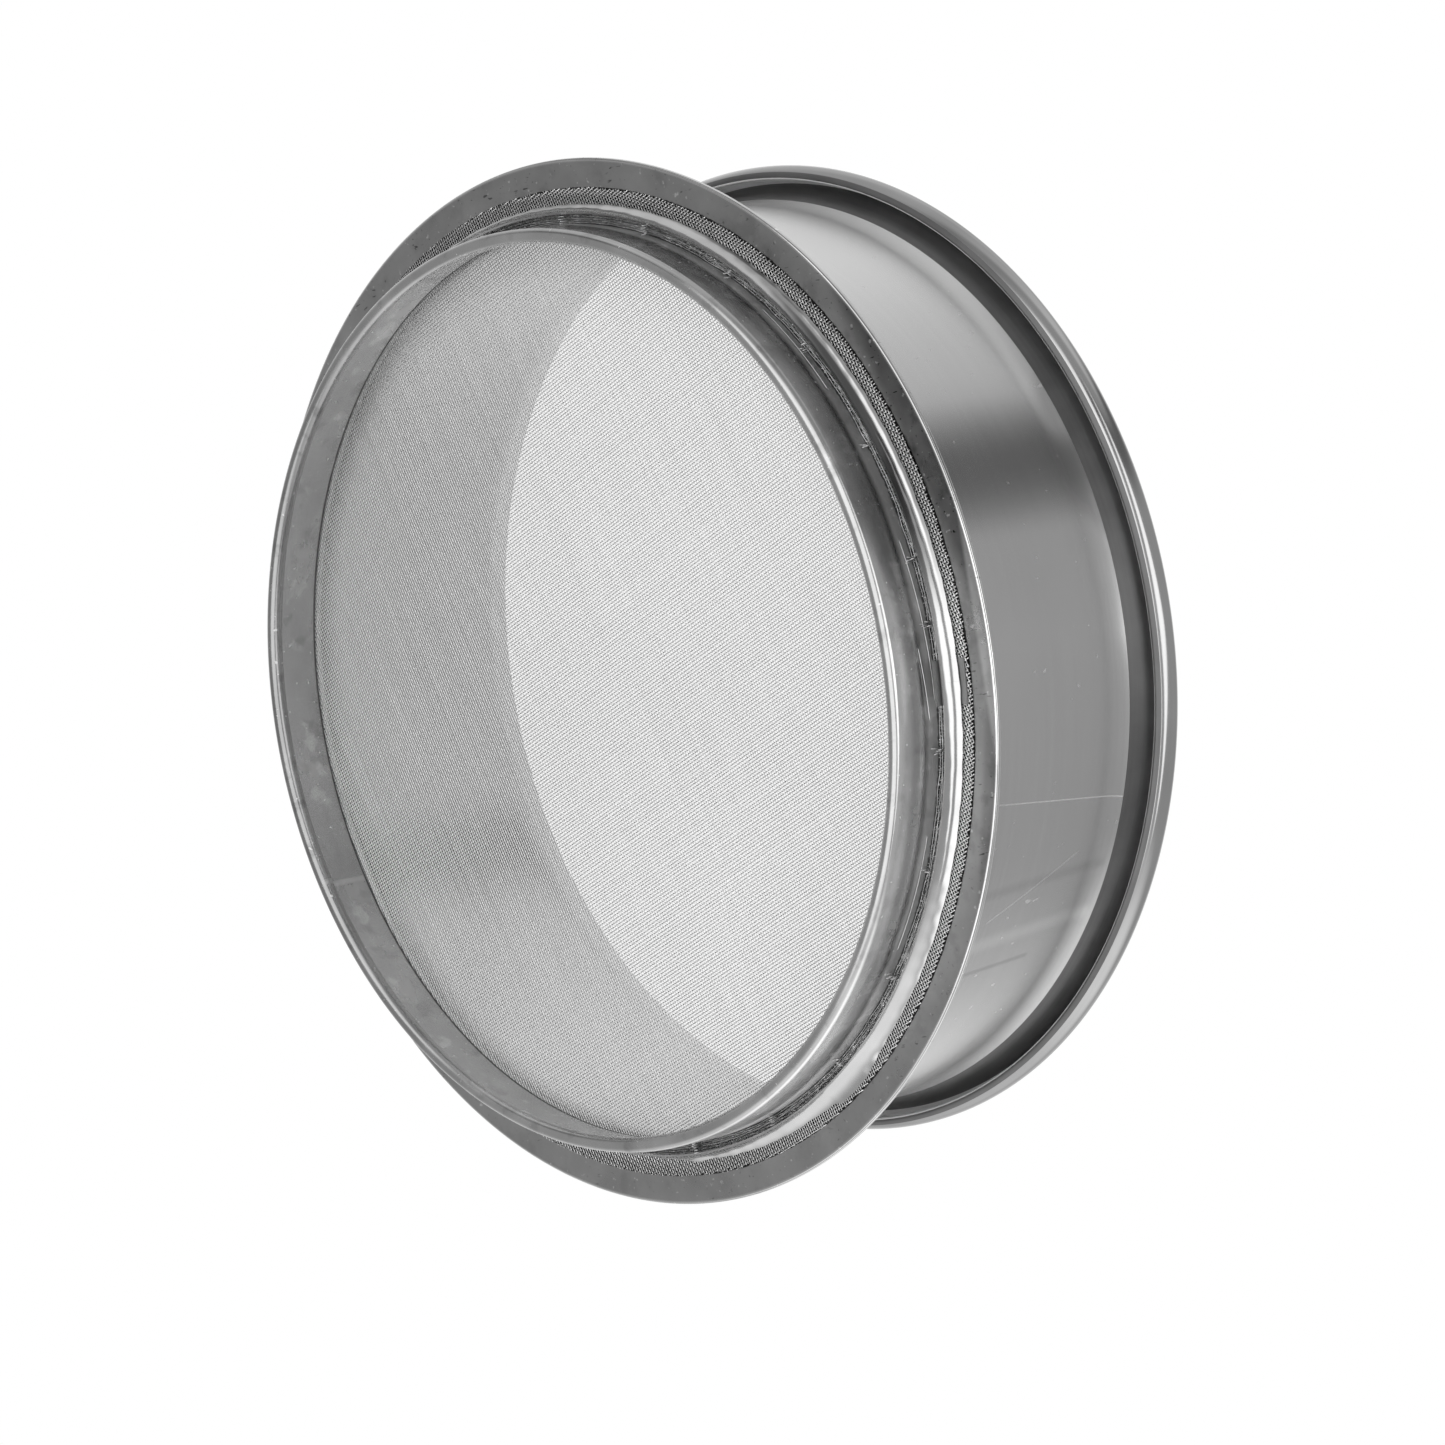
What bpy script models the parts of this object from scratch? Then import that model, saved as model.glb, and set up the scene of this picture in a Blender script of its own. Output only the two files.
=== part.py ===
"""Round soil sieve: a sheet-steel drum, a disc of wire cloth, and a skirt held on by a clamp ring.

The sieve stands on its skirt, with the open mouth of the drum upwards. Lengths are in metres.
"""
import math

import bmesh
import bpy
import numpy as np
from mathutils import Matrix

# Driving sizes of the drum
DRUM_DIAMETER = 0.1448
OVERALL_HEIGHT = 0.056
SHEET = 0.00045
FLANGE_WIDTH = 0.0101
FLANGE_HEIGHT = 0.0109
FLANGE_BEND = 0.0015
HEM_WIDTH = 0.003
HEM_GAP = 0.0001
FLARE_DEPTH = 0.0051
FLARE_ANGLE = 24.0
FLARE_BEND = 0.0012
RIM_REACH = 0.0059
RIM_BEND = 0.001
RIM_DEPTH = 0.004
RIM_HEM = 0.0016

# Driving sizes of the skirt, the cloth and the clamp
BEAD_DIAMETER = 0.0024
CLOTH_THICKNESS = 0.0002
CLOTH_MARGIN = 0.0018
NET_PITCH = 0.0075
NET_STRAND = 0.0008
NET_BORDER = 0.0012
NET_TURN = 65.0
CLAMP_SHEET = 0.0003
CLAMP_FILLET = 0.0016
CLAMP_LEG = 0.0021
CLAMP_LAND = 0.0004
CLAMP_JOINT = 0.0005
JOINT_BEARING = 7.0
PACKING_THICKNESS = 0.0008
PACKING_HEIGHT = 0.0034
SPLICE_SHEET = 0.0002
SPLICE_LENGTH = 0.008
SPLICE_OVERHANG = 0.0014
SPLICE_LEG = 0.0006
SEAT = 0.00015

# Facets
ROUND_STEPS = 72
DISC_SIDES = 72
BEND_STEPS = 3
RIM_STEPS = 2
BEAD_TURN = 36.0
BEAD_STEPS = 8
SPLICE_STEPS = 3
SMOOTH_ANGLE = 40.0

# Places that follow from the sizes
DRUM_RADIUS = DRUM_DIAMETER / 2
FLANGE_RADIUS = DRUM_RADIUS + FLANGE_WIDTH
SKIRT_RADIUS = DRUM_RADIUS
CLOTH_TOP = FLANGE_HEIGHT - SEAT
CLOTH_BASE = CLOTH_TOP - CLOTH_THICKNESS
SKIRT_TOP = CLOTH_BASE - SEAT
PACKING_RADIUS = SKIRT_RADIUS + SEAT
SPLICE_ROOM = SEAT + SPLICE_SHEET + SEAT
LEG_MIDDLE = PACKING_RADIUS + PACKING_THICKNESS + SPLICE_ROOM + CLAMP_SHEET / 2
FOOT_MIDDLE = CLOTH_BASE - SPLICE_ROOM - CLAMP_SHEET / 2
CLAMP_BEND = CLAMP_FILLET + CLAMP_SHEET / 2
FOOT_RADIUS = LEG_MIDDLE + CLAMP_BEND + CLAMP_LAND
CLOTH_RADIUS = FOOT_RADIUS + CLOTH_MARGIN


def clear_scene():
    """Removes whatever the open file holds."""
    for item in list(bpy.data.objects):
        bpy.data.objects.remove(item, do_unlink=True)


def metal(name, colour, roughness):
    """One plain metal finish."""
    material = bpy.data.materials.new(name)
    material.use_nodes = True
    shader = material.node_tree.nodes["Principled BSDF"]
    shader.inputs["Base Color"].default_value = (*colour, 1.0)
    shader.inputs["Metallic"].default_value = 1.0
    shader.inputs["Roughness"].default_value = roughness
    return material


def point(radius, height, heading):
    """One end of a sheet's middle line, with the way that the line runs there."""
    return np.array([[radius, height, *heading]])


def bend(centre, radius, start, end, steps):
    """An arc of the middle line from one angle to another, in degrees, as rows of place and heading."""
    angle = np.radians(np.linspace(start, end, steps + 1))
    sense = 1.0 if end > start else -1.0
    spoke = np.stack([np.cos(angle), np.sin(angle)], axis=1)
    heading = sense * np.stack([-np.sin(angle), np.cos(angle)], axis=1)
    return np.hstack([np.array(centre) + radius * spoke, heading])


def sheet_section(pieces, thickness):
    """The closed outline of a sheet of one thickness that follows a middle line."""
    line = np.vstack(pieces)
    place, heading = line[:, :2], line[:, 2:]
    left = np.stack([-heading[:, 1], heading[:, 0]], axis=1) * thickness / 2
    return np.vstack([place + left, (place - left)[::-1]])


def new_object(name, mesh_data, material):
    """Puts a finished mesh into the scene as one named piece."""
    bmesh.ops.recalc_face_normals(mesh_data, faces=mesh_data.faces)
    mesh = bpy.data.meshes.new(name)
    mesh_data.to_mesh(mesh)
    mesh_data.free()
    mesh.shade_smooth()
    mesh.set_sharp_from_angle(angle=math.radians(SMOOTH_ANGLE))
    piece = bpy.data.objects.new(name, mesh)
    piece.data.materials.append(material)
    bpy.context.collection.objects.link(piece)
    return piece


def hoop(name, section, material):
    """Spins a closed section once round the sieve's axis."""
    build = bmesh.new()
    corners = [build.verts.new((radius, 0.0, height)) for radius, height in section]
    edges = [build.edges.new((a, b)) for a, b in zip(corners, corners[1:] + corners[:1])]
    bmesh.ops.spin(build, geom=corners + edges, axis=(0, 0, 1), cent=(0, 0, 0),
                   angle=math.tau, steps=ROUND_STEPS, use_merge=True)
    return new_object(name, build, material)


def open_hoop(name, section, start, end, steps, material):
    """Spins a closed section from one bearing to another, in degrees, and keeps both end faces."""
    build = bmesh.new()
    corners = [build.verts.new((radius, 0.0, height)) for radius, height in section]
    face = build.faces.new(corners)
    turn = Matrix.Rotation(math.radians(start), 3, "Z")
    bmesh.ops.rotate(build, verts=corners, cent=(0, 0, 0), matrix=turn)
    cap = bmesh.ops.duplicate(build, geom=[face])["geom"]
    bmesh.ops.spin(build, geom=cap, axis=(0, 0, 1), cent=(0, 0, 0),
                   angle=math.radians(end - start), steps=steps)
    bmesh.ops.remove_doubles(build, verts=build.verts, dist=SEAT / 100)
    return new_object(name, build, material)


def make_drum():
    """Hemmed flange, straight wall, and a mouth that flares to a flat rim turned down and hemmed."""
    wall = DRUM_RADIUS - SHEET / 2
    flange = FLANGE_HEIGHT + SHEET / 2
    fold = (SHEET + HEM_GAP) / 2
    # The middle facets of both folds lie on the flange's full width and at the rim's full depth
    fold_reach = (SHEET / 2 + fold) * math.cos(math.pi / BEND_STEPS / 2)
    hem_centre = (FLANGE_RADIUS - fold_reach, flange + fold)
    lip = wall + RIM_REACH
    rim_centre = (lip - fold, OVERALL_HEIGHT - RIM_DEPTH + fold_reach)
    # The straight flare runs from the end of the bend at its foot to the start of the bend at its top
    lean = math.radians(FLARE_ANGLE)
    flare_centre = (wall + FLARE_BEND, OVERALL_HEIGHT - FLARE_DEPTH)
    top = OVERALL_HEIGHT - SHEET / 2 - RIM_BEND
    rise = top - flare_centre[1] + (RIM_BEND - FLARE_BEND) * math.sin(lean)
    inner_corner = flare_centre[0] + (RIM_BEND - FLARE_BEND) * math.cos(lean) + rise * math.tan(lean)
    pieces = [
        point(hem_centre[0] - HEM_WIDTH, flange + 2 * fold, (1, 0)),
        bend(hem_centre, fold, 90, -90, BEND_STEPS),
        bend((wall + FLANGE_BEND, flange + FLANGE_BEND), FLANGE_BEND, -90, -180, BEND_STEPS),
        bend(flare_centre, FLARE_BEND, 180, 180 - FLARE_ANGLE, RIM_STEPS),
        bend((inner_corner, top), RIM_BEND, 180 - FLARE_ANGLE, 90, RIM_STEPS),
        bend((lip - RIM_BEND, top), RIM_BEND, 90, 0, BEND_STEPS),
        bend(rim_centre, fold, 0, -180, BEND_STEPS),
        point(lip - 2 * fold, rim_centre[1] + RIM_HEM, (0, 1)),
    ]
    steel = metal("polished_sheet", (0.62, 0.62, 0.62), 0.16)
    return hoop("drum", sheet_section(pieces, SHEET), steel)


def make_skirt():
    """Straight ring under the cloth, its lower edge rolled inwards into an open bead."""
    wall = SKIRT_RADIUS - SHEET / 2
    roll = BEAD_DIAMETER / 2 - SHEET / 2
    # The middle facet of the roll lies flat, so the sieve stands on a narrow level ring
    base = BEAD_DIAMETER / 2 * math.cos(math.radians(BEAD_TURN / 2))
    pieces = [
        point(wall, SKIRT_TOP, (0, -1)),
        bend((wall - roll, base), roll, 0, -BEAD_TURN * BEAD_STEPS, BEAD_STEPS),
    ]
    steel = metal("dull_sheet", (0.40, 0.40, 0.40), 0.38)
    return hoop("skirt_ring", sheet_section(pieces, SHEET), steel)


def clamp_section(offset, leg, reach, thickness):
    """Angle section: an upright leg, a round inner corner and a foot, set off from the clamp's middle."""
    corner = CLAMP_BEND + offset
    foot = FOOT_MIDDLE + offset
    pieces = [
        point(LEG_MIDDLE - offset, FOOT_MIDDLE - CLAMP_BEND - leg, (0, 1)),
        bend((LEG_MIDDLE + CLAMP_BEND, FOOT_MIDDLE - CLAMP_BEND), corner, 180, 90, BEND_STEPS),
        point(reach, foot, (1, 0)),
    ]
    return sheet_section(pieces, thickness)


def make_clamp():
    """Angle hoop round the skirt, cut once where its two ends meet."""
    half = math.degrees(CLAMP_JOINT / LEG_MIDDLE) / 2
    steel = metal("bright_hoop", (0.70, 0.70, 0.70), 0.14)
    return open_hoop("clamp_ring", clamp_section(0.0, CLAMP_LEG - CLAMP_FILLET, FOOT_RADIUS, CLAMP_SHEET),
                     JOINT_BEARING + half, JOINT_BEARING + 360 - half, ROUND_STEPS, steel)


def make_splice():
    """Short strap of the same section behind the clamp's joint, longer than the clamp on both sides."""
    offset = CLAMP_SHEET / 2 + SEAT + SPLICE_SHEET / 2
    half = math.degrees(SPLICE_LENGTH / LEG_MIDDLE) / 2
    steel = metal("splice_strap", (0.50, 0.50, 0.50), 0.30)
    leg = CLAMP_LEG - CLAMP_FILLET + SPLICE_LEG
    section = clamp_section(offset, leg, FOOT_RADIUS + SPLICE_OVERHANG, SPLICE_SHEET)
    return open_hoop("clamp_splice", section, JOINT_BEARING - half, JOINT_BEARING + half, SPLICE_STEPS, steel)


def make_packing():
    """Strip of folded cloth, on edge, packed between the skirt and the clamp's leg."""
    inner, outer = PACKING_RADIUS, PACKING_RADIUS + PACKING_THICKNESS
    low, high = SKIRT_TOP - PACKING_HEIGHT, SKIRT_TOP
    section = [(inner, low), (outer, low), (outer, high), (inner, high)]
    return hoop("packing_strip", section, metal("frayed_cloth", (0.22, 0.22, 0.22), 0.6))


def net_gaps():
    """Centres of the square gaps whose middles lie inside the cloth's border, and half their width."""
    limit = SKIRT_RADIUS - SHEET - NET_BORDER
    count = int(limit / NET_PITCH) + 1
    places = np.arange(-count, count + 1) * NET_PITCH
    grid = np.stack(np.meshgrid(places, places), axis=-1).reshape(-1, 2)
    return grid[np.linalg.norm(grid, axis=1) < limit], (NET_PITCH - NET_STRAND) / 2


def cut_with(piece, cutter, operation):
    """Cuts a piece with a hidden body, or keeps only what lies inside that body."""
    cutter.hide_render = True
    cutter.display_type = "WIRE"
    cut = piece.modifiers.new(cutter.name, "BOOLEAN")
    cut.operation = operation
    cut.solver = "EXACT"
    cut.object = cutter


def disc(name, radius, thickness, material):
    """Plain round plate, centred on the cloth's middle height."""
    build = bmesh.new()
    place = Matrix.Translation((0, 0, (CLOTH_TOP + CLOTH_BASE) / 2))
    bmesh.ops.create_cone(build, cap_ends=True, segments=DISC_SIDES, radius1=radius,
                          radius2=radius, depth=thickness, matrix=place)
    return new_object(name, build, material)


def make_cloth():
    """Disc of cloth with a plain margin, pierced by square gaps between crossing strands."""
    strand = metal("wire_cloth", (0.58, 0.58, 0.58), 0.35)
    cloth = disc("sieve_cloth", CLOTH_RADIUS, CLOTH_THICKNESS, strand)
    border = disc("net_border", SKIRT_RADIUS - SHEET - NET_BORDER, 3 * CLOTH_THICKNESS, strand)
    gaps, half = net_gaps()
    turn = Matrix.Rotation(math.radians(NET_TURN), 4, "Z")
    size = Matrix.Diagonal((2 * half, 2 * half, 4 * CLOTH_THICKNESS, 1.0))
    middle = (CLOTH_TOP + CLOTH_BASE) / 2
    build = bmesh.new()
    for across, along in gaps:
        place = turn @ Matrix.Translation((across, along, middle)) @ size
        bmesh.ops.create_cube(build, size=1.0, matrix=place)
    prisms = new_object("net_gaps", build, strand)
    cut_with(prisms, border, "INTERSECT")
    cut_with(cloth, prisms, "DIFFERENCE")


def main():
    """Builds the sieve."""
    clear_scene()
    make_drum()
    make_skirt()
    make_clamp()
    make_splice()
    make_packing()
    make_cloth()


main()
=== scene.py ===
"""Looks of a round soil sieve: sheet-metal hoops, a disc of woven wire, and its frayed margins."""
import math

import bpy
import numpy as np
from mathutils import Matrix, Vector


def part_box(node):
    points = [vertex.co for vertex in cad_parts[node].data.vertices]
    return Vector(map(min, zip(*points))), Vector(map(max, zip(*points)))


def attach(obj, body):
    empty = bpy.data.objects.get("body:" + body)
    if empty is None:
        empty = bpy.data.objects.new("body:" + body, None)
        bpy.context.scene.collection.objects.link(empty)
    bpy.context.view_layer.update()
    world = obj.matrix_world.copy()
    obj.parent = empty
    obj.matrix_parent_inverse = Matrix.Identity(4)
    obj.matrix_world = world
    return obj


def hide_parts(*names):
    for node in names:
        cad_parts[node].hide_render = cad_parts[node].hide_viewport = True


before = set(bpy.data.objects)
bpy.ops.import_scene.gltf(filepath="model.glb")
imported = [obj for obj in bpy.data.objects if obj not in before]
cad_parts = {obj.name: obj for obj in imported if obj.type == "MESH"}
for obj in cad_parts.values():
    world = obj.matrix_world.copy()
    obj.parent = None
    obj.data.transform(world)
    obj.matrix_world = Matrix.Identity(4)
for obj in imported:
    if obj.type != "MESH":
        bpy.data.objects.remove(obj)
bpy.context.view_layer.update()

# Sizes read from the solids, in metres
FLANGE_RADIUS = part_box("drum")[1].x
FLANGE_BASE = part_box("drum")[0].z
MOUTH_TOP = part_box("drum")[1].z
WALL_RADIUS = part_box("skirt_ring")[1].x
SKIRT_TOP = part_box("skirt_ring")[1].z
CLOTH_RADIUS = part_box("sieve_cloth")[1].x
CLOTH_LEVEL = (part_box("sieve_cloth")[0].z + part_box("sieve_cloth")[1].z) / 2
FOOT_RADIUS = -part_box("clamp_ring")[0].x
CLAMP_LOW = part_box("clamp_ring")[0].z
CLAMP_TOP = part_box("clamp_ring")[1].z
PACKING_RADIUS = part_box("packing_strip")[1].x
PACKING_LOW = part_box("packing_strip")[0].z
STRAP_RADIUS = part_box("clamp_splice")[1].x
STRAP_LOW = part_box("clamp_splice")[0].z
STRAP_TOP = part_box("clamp_splice")[1].z

# Sheet-metal sizes that the solids share, in metres and degrees
SHEET = 0.00045
FLANGE_BEND = 0.0015
HEM_FOLD = 0.000275
HEM_WIDTH = 0.003
FLARE_DEPTH = 0.0051
FLARE_ANGLE = 24.0
FLARE_BEND = 0.0012
RIM_REACH = 0.0059
RIM_BEND = 0.001
RIM_DEPTH = 0.004
RIM_HEM = 0.0016
BEAD_RADIUS = 0.0012
BEAD_SWEEP = 288.0
CLAMP_SHEET = 0.0003
STRAP_SHEET = 0.0002
SEAT = 0.00015
JOINT_BEARING = 7.0

# Sheet-metal sizes that only the photograph's reflections show
EASE_RISE = 0.0042
EASE_ANGLE = 20.3
EASE_DROP = 0.0008
FLARE_SKIP = 0.8  # start of the flare's bend that is left out, where the ease already ends
LIP_BEND = 0.0023
LIP_TURN = 50.0
LIP_FOLD = 0.0002
LIP_WIDTH = 0.0005
LIP_SPLIT = (-110, -124)  # angles between which the lip's finish changes
COVE_RADIUS = 0.0030
COVE_START = 12.0
COVE_END = 62.0
JOINT_HALF = 0.004
STRAP_HALF = 2.6

# Camera of the photograph, found from the rims' ellipses
VIEW_BEARING = 7.3
VIEW_SPIN = Matrix.Rotation(math.radians(VIEW_BEARING), 3, "Z")
CAMERA_PLACE = VIEW_SPIN @ Vector((0.6932, -0.0782, -0.6188))
CAMERA_RIGHT = VIEW_SPIN @ Vector((0.68835, 0.09598, 0.71900))
CAMERA_UP = VIEW_SPIN @ Vector((0.0, -0.99121, 0.13231))
CAMERA_BACK = CAMERA_RIGHT.cross(CAMERA_UP)
CAMERA_LENS = 149.48
SENSOR = 36.0

# Wire cloth
WIRE_PITCH = 0.000508
WIRE_RADIUS = 0.0001
WIRE_STEPS = 25
WIRE_WANDER = 0.035  # spread of a wire's place, in pitches
WIRE_END = (-0.0001, 0.00015)  # middle and spread of where a wire ends, past the cloth's edge
WEAVE_TURN = 65.0 + VIEW_BEARING
# The pattern along the wires is painted highlights on the weave's crowns and painted shade in its dips
WEAVE_SHIFT = 0.1  # height at which the pattern along the wires is read

# Packing strip: its folds' depths inside its outer face, and how its wires wave and fray
PACKING_FOLDS = np.array([0.00012, 0.00042, 0.00072, -0.0003, -0.0007])
PACKING_WIRE = WIRE_RADIUS * 0.8
STRIP_LOW = PACKING_LOW + 0.0016
FIRST_RING = 0.6
RING_STAGGER = 0.5
OUTER_LIFT = 0.0003
RING_WAVES = ((0.00012, 23, 1), (0.00008, 57, 2))  # depth, waves round the ring, start
RING_RIPPLE = (0.00005, 91, 9000)
UPRIGHT_STEPS = 4
UPRIGHT_WANDER = 0.3
UPRIGHT_GAP = 0.0001
UPRIGHT_FRAY = 0.0003
UPRIGHT_LEAN = 0.004
UPRIGHT_BESIDE = (0.6, 0.8, 0.01)
LONG_UPRIGHT = 37  # every so many, one upright reaches the solid's lower edge

# Loose wires along the skirt: bearing in degrees and height of one end, then of the other
LOOSE_WIRES = ((-17.5, 0.0073, 1.7, 0.0081), (-4.6, 0.0060, 3.9, 0.0068),
               (18.0, 0.0076, 33.0, 0.0071), (-52.0, 0.0076, -38.0, 0.0071),
               (108.0, 0.0075, 122.0, 0.0071))
LOOSE_WIRE = WIRE_RADIUS * 0.7
LOOSE_STEPS = 40
LOOSE_GAP = 0.00012
LOOSE_LIFT = 0.0002

# Uneven foot of the clamp: bearings in degrees, and its reach there in tenths of a millimetre
FOOT_BEARINGS = (-180, -120, -90, -45, 0, 42, 47, 50.5, 56.0, 57.2, 61, 70, 79, 81, 82.5, 84,
                 86, 91, 105, 125, 180)
FOOT_REACHES = (0, -3, -4, -2, 0, 1, 4, 13, 13, 5, 2, 0, -4, -4, -2, -5, -7, -10, -8, -3, 0)
FOOT_UNIT = 0.0001
FOOT_RIPPLES = ((0.00005, 61, 0.0), (0.00004, 143, 1.0))  # depth, waves round the hoop, start
HOOP_ASIDE = 0.0003

# Fineness of the surfaces
TURNS = 288
CLAMP_TURNS = 721
STRAP_TURNS = 12
SHEET_CREASE = 38.0
WIRE_CREASE = 120.0

# Finishes of the drum, by number
WALL, FLANGE, RIM, CHANNEL, FLARE = range(5)

# Straight marks: bearing in degrees and height of each end, and width
WALL_SEAM = ((15.4, 0.0135), (18.0, 0.0515), 0.00016)
WALL_INNER_SEAM = ((-141.7, 0.0115), (-141.7, 0.0400), 0.00025)
WALL_NICK = ((32.4, 0.0260), (24.3, 0.0432), 0.00014)
# Painted reflections on the outer wall: a dark band, a bright band and a dark streak
WALL_REFLECTION_DARK_BAND = ((29.0, 0.012), (26.5, 0.050), 0.0016)
WALL_REFLECTION_BRIGHT_BAND = ((37.0, 0.012), (33.5, 0.050), 0.0022)
WALL_REFLECTION_DARK_STREAK = ((41.5, 0.014), (39.0, 0.040), 0.0008)
SKIRT_WELD = ((154.0, 0.0), (154.0, 0.0104), 0.0006)
MARK_FADE = 0.46  # share of a mark's length from its middle at which it starts to fade
LINE_CORE = 0.4  # share of a line's width that is full

# Stretches of the sieve: bearing in degrees, the reaches that way at which each starts and is
# full, and its strength at both where that isn't 0 and 1
# Painted dark reflection patch on the wall's outer face
WALL_DARK_REFLECTION_PATCH = (-25, 0.0714, 0.0723)
# Painted light across the flange: lighter away from this bearing, a little darker towards it
FLANGE_SIDE_LIGHT = (-60, -0.02, 0.07, 0.05, -0.02)
# Painted shade on the flange's underside on this side
FLANGE_SHADED_SIDE = (-26, 0.0752, 0.0792)
# The flange's underside lighter near its edge towards this bearing, and darker towards the next
FLANGE_LIGHTER_PATCH = (-5, 0.0796, 0.0806)
FLANGE_DARKER_PATCH = (10, 0.0790, 0.0804)
# Painted shade on the rim at two places
RIM_SHADED_ABOVE = (-68, 0.068, 0.077)
RIM_SHADED_BELOW = (75, 0.066, 0.077)
# Painted highlight on the skirt's bead, strongest on this side
SKIRT_HIGHLIGHT_SIDE = (22, 0.03, 0.07, 0.15, 1.0)
# Painted light on the skirt's outer face on this side, with more roughness
SKIRT_LIT_SIDE = (78, 0.045, 0.072, 0.0, 0.18)
# Painted shade on the skirt's outer face on this side
SKIRT_SHADED_SIDE = (-53, 0.03, 0.07, 0.0, -0.13)
# Painted shade on the skirt's bead on this side
SKIRT_BEAD_SHADED_SIDE = (180, 0.02, 0.06)
# Painted dark reflection along the clamp's two edges on this side
CLAMP_LOW_SHADED_SIDE = (-31, 0.0685, 0.0735)
CLAMP_FOOT_SHADED_SIDE = (-40, 0.0640, 0.0730)
# Painted shade on the cloth's held margin on this side
CLOTH_SHADED_SIDE = (-34, 0.069, 0.075)
# Painted light on the cloth's held margin on these two sides
CLOTH_LIT_ABOVE = (-105, 0.066, 0.073)
CLOTH_LIT_BELOW = (38, 0.062, 0.073)

# Heights, and distances from the axis, between which a mark comes or, with 1 and 0, goes
WALL_INSIDE = (WALL_RADIUS - 0.0002, WALL_RADIUS - 0.0003)
# Painted shade in the wall's inside corner by the flange
WALL_CORNER_SHADE = (0.0165, 0.0118)
# The wall lighter at its two sides: painted highlight
WALL_LIT_SIDES = (0.045, 0.066)
FLANGE_EDGE = (FLANGE_RADIUS - 0.0007, FLANGE_RADIUS - 0.0002)
FLANGE_BELOW = (FLANGE_BASE + 0.0001, FLANGE_BASE + 0.0002, 1, 0)
# Painted shadow under the cloth's margin on the flange
FLANGE_SHADE_UNDER_CLOTH = (CLOTH_RADIUS + 0.0001, CLOTH_RADIUS + 0.0002, 1, 0)
# Painted dark reflection line along the hem
HEM_REFLECTION_LINE = (FLANGE_BASE + 0.00017, 0.00006)  # level and width
# Painted light on the flare's upper part
FLARE_UPPER_LIGHT = (0.0520, 0.0540)
SKIRT_OUTSIDE = (WALL_RADIUS - 0.0003, WALL_RADIUS - 0.0001)
SKIRT_ABOVE_BEAD = (0.0026, 0.0034)
SKIRT_BEAD = (0.0024, 0.0032, 1, 0)
# Painted highlight on the skirt's bead
SKIRT_BEAD_HIGHLIGHT = (0.0022, 0.0040, 0.32, 0.0)
# Painted light on the skirt below the packing strip
SKIRT_LIT_UNDER_STRIP = (0.0058, 0.0072)
# Painted shade behind the packing strip and under the cloth
SKIRT_SHADE_BEHIND_PACKING = (STRIP_LOW + 0.0003, STRIP_LOW + 0.0006)
SKIRT_SHADE_UNDER_CLOTH = (SKIRT_TOP - 0.0005, SKIRT_TOP - 0.0002)
# Heights of the painted dark reflection by the clamp's lower edge and by its foot
CLAMP_LOW_EDGE = (CLAMP_LOW + 0.00125, CLAMP_LOW + 0.00155, 1, 0)
CLAMP_FOOT = (CLAMP_LOW + 0.00175, CLAMP_LOW + 0.00195)
CLOTH_HELD = (0.0740, 0.0748)
# Ragged spread of the edges of the painted shadow under the cloth and of the painted shade behind the packing
FLANGE_RAGGED = 0.0003
SKIRT_RAGGED = 0.0006

# Studio, by reach along the camera's axes: where each light starts and is full, and its strength
ROOM_GREY = 0.44
BACKDROP = (-0.35, -0.95, 0.0, 0.46)
CEILING = (0.64, 0.8, 0, 0.34)
CEILING_BEHIND = (0.3, 0.0)
TABLE = (-0.64, -0.95, 0.0, 0.7)
SHADE_START = (0.4, 0.58, 0, 0.27)
SHADE_END = (0.64, 0.72, 1, 0)
SHADE_IN_FRONT = (-0.45, -0.25)
LEFT_PANEL = (-0.87, -0.02, 0.3, 1.3, 0.0)  # left edge, right edge, front, brightness, taper
RIGHT_PANEL = (0.2, 0.79, 0.12, 1.35, 0.7)
PANEL_ENDS = (0.62, 0.78, 1, 0)
PANEL_BLURS = (0.04, 0.06, 0.1)  # of its left edge, right edge and front
FLOOR_HALF = 2
FLOOR_TONE = 0.9

dice = np.random.default_rng(7)


def point(radius, height, heading):
    """One end of a sheet's middle line: its place, and the way that the line runs there."""
    return np.array([[radius, height, *heading]])


def bend(centre, radius, start, end, steps):
    """Arc of a middle line: centre plus radius times (cos, sin) of an angle in degrees, with its heading."""
    angle = np.radians(np.linspace(start, end, steps + 1))
    sense = 1.0 if end > start else -1.0
    spoke = np.stack([np.cos(angle), np.sin(angle)], axis=1)
    heading = sense * np.stack([-np.sin(angle), np.cos(angle)], axis=1)
    return np.hstack([np.array(centre) + radius * spoke, heading])


def run(start, end, steps):
    """Straight stretch of a middle line between two points, without its ends."""
    share = np.linspace(0, 1, steps + 2)[1:-1, None]
    start, end = np.array(start), np.array(end)
    heading = (end - start) / np.linalg.norm(end - start)
    return np.hstack([start + share * (end - start), np.repeat(heading[None], steps, axis=0)])


def sheet_section(pieces, thickness):
    """Closed outline of a sheet: its middle line pushed half a thickness to each side, anticlockwise."""
    line = np.vstack(pieces)
    place, heading = line[:, :2], line[:, 2:]
    side = np.stack([-heading[:, 1], heading[:, 0]], axis=1) * thickness / 2
    return np.vstack([place - side, (place + side)[::-1]])


def section_zones(pieces, right, left):
    """Finish number of each outline point, from the finish on the right and on the left of every piece."""
    rows = [len(piece) for piece in pieces]
    return np.concatenate([np.repeat(right, rows), np.repeat(left, rows)[::-1]])


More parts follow.
